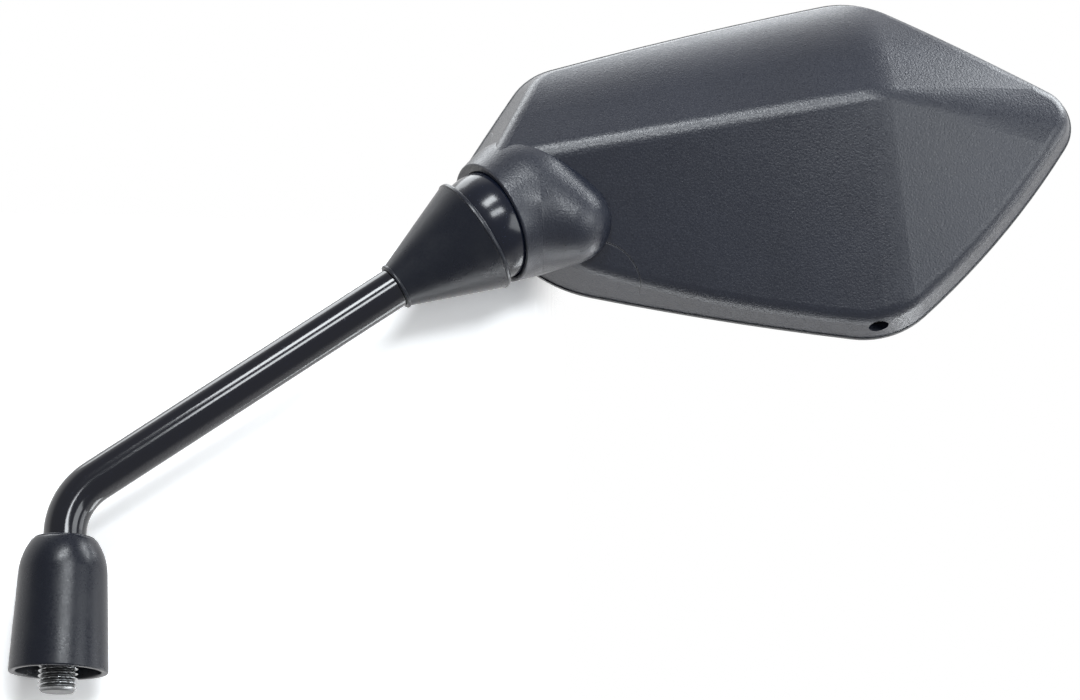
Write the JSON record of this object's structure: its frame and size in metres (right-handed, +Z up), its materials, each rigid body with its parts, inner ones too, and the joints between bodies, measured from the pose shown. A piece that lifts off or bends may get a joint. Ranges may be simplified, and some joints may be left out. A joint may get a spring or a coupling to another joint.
{
  "type": "motorcycle mirror",
  "caption": "Motorcycle mirror: faceted plastic head with convex glass on a sprung ball joint under a rubber boot, on a bent round stem with a threaded stud and rubber cover.",
  "frame": {"origin": "centre of the lock nut's lower face, on the stud's axis, where the stud leaves the nut", "axes": "+Z up along the stud towards the stem, +X outboard along the stem's bend, +Y to the glass side, towards the rider"},
  "size_m": [0.2855, 0.0399, 0.2012],
  "materials": {
    "stem_paint": "gloss black paint, bare zinc on the stud",
    "zinc": "bright zinc plating",
    "rubber": "satin moulded rubber",
    "ball_paint": "gloss black",
    "steel": "zinc-plated steel",
    "shell_plastic": "fine-grained moulded black plastic",
    "bezel_plastic": "satin moulded black plastic",
    "mirror": "silvered convex glass",
    "foam": "soft foam sheet",
    "plate_plastic": "moulded black plastic"
  },
  "bodies": {
    "stem": {"stem_rod": "stem_paint", "lock_nut": "zinc", "stud_cover": "rubber", "joint_boot": "rubber", "ball_base": "ball_paint", "ball_cup": "ball_paint"},
    "cup": {"pressure_cup": "steel"},
    "thrust": {"thrust_washer": "steel"},
    "head": {"disc_springs": "steel", "spring_washer": "steel", "tension_nut": "steel", "tension_screw": "steel", "screw_washer": "steel", "housing": "shell_plastic", "glass_bezel": "bezel_plastic", "mirror_glass": "mirror", "glass_cushion": "foam", "backing_plate": "plate_plastic", "plate_screws": "steel"}
  },
  "joints": [
    {"name": "head_yaw", "type": "hinge", "parent": "stem", "child": "cup", "pos_m": [0.10901, 0, 0.11166], "axis": [-0.5807, 0, 0.8141], "range_deg": [-29.5, 0.5]},
    {"name": "head_pitch", "type": "hinge", "parent": "cup", "child": "thrust", "pos_m": [0.10901, 0, 0.11166], "axis": [-0.2038, 0.9681, -0.1454], "range_deg": [-14.7, 2.7]},
    {"name": "head_spin", "type": "hinge", "parent": "thrust", "child": "head", "pos_m": [0.10901, 0, 0.11166], "axis": [0.8446, 0.249, 0.474], "continuous": true}
  ]
}
